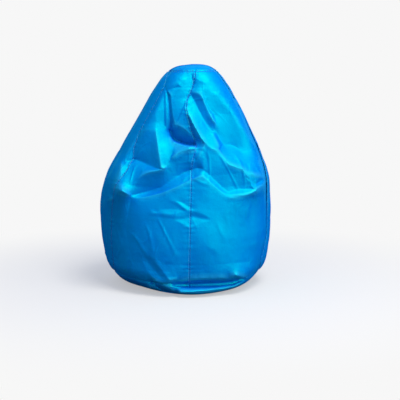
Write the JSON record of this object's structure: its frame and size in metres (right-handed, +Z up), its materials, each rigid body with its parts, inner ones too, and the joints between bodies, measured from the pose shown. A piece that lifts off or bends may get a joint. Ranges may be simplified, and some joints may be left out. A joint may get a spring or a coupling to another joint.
{
  "type": "bean bag chair",
  "caption": "Pear-shaped bean bag chair: a glossy coated-nylon cover sewn from gores, with a small top cap, a zipped base and a bead-filled liner.",
  "frame": {"origin": "on the floor under the middle of the base", "axes": "+Z up, front seam towards -Y, +X to the right as seen from the front"},
  "size_m": [0.8, 0.7874, 1.04],
  "materials": {
    "coated_nylon": "smooth coated weave with a soft gloss, azure",
    "thread": "twisted polyester topstitching thread, azure",
    "zip_tape": "woven polyester tape, navy",
    "zip_coil": "nylon monofilament, navy",
    "zip_metal": "enamelled zinc, dark navy",
    "liner_cloth": "plain woven polyester, off-white",
    "liner_tape": "woven polyester tape, off-white",
    "liner_coil": "nylon monofilament, off-white",
    "beads": "loose expanded polystyrene beads, white"
  },
  "bodies": {
    "cover": {"gore_right": "coated_nylon", "gore_back_right": "coated_nylon", "gore_back_left": "coated_nylon", "gore_left": "coated_nylon", "gore_front_left": "coated_nylon", "gore_front_right": "coated_nylon", "top_cap": "coated_nylon", "base_front": "coated_nylon", "base_back": "coated_nylon", "topstitch_back_right": "thread", "topstitch_back": "thread", "topstitch_back_left": "thread", "topstitch_front_left": "thread", "topstitch_front": "thread", "topstitch_front_right": "thread", "zip_tape_front": "zip_tape", "zip_tape_back": "zip_tape", "zip_coil_front": "zip_coil", "zip_coil_back": "zip_coil", "zip_top_stops": "zip_metal", "zip_bottom_stop": "zip_metal", "liner_front": "liner_cloth", "liner_back": "liner_cloth", "liner_zip_tape_front": "liner_tape", "liner_zip_tape_back": "liner_tape", "liner_zip_coil_front": "liner_coil", "liner_zip_coil_back": "liner_coil", "liner_zip_top_stops": "zip_metal", "liner_zip_bottom_stop": "zip_metal", "bead_fill": "beads"},
    "zip_slider": {"zip_slider": "zip_metal"},
    "zip_pull": {"zip_pull": "zip_metal"},
    "liner_zip_slider": {"liner_zip_slider": "zip_metal"}
  },
  "joints": [
    {"name": "zip_slide", "type": "slide", "parent": "cover", "child": "zip_slider", "axis": [-1, 0, 0], "range_m": [0, 0.385]},
    {"name": "pull_swing", "type": "hinge", "parent": "zip_slider", "child": "zip_pull", "pos_m": [0.195, 0, 0.00742], "axis": [0, -1, 0], "range_deg": [-16, 150]},
    {"name": "liner_zip_slide", "type": "slide", "parent": "cover", "child": "liner_zip_slider", "axis": [-1, 0, 0], "range_m": [0, 0.315]}
  ]
}
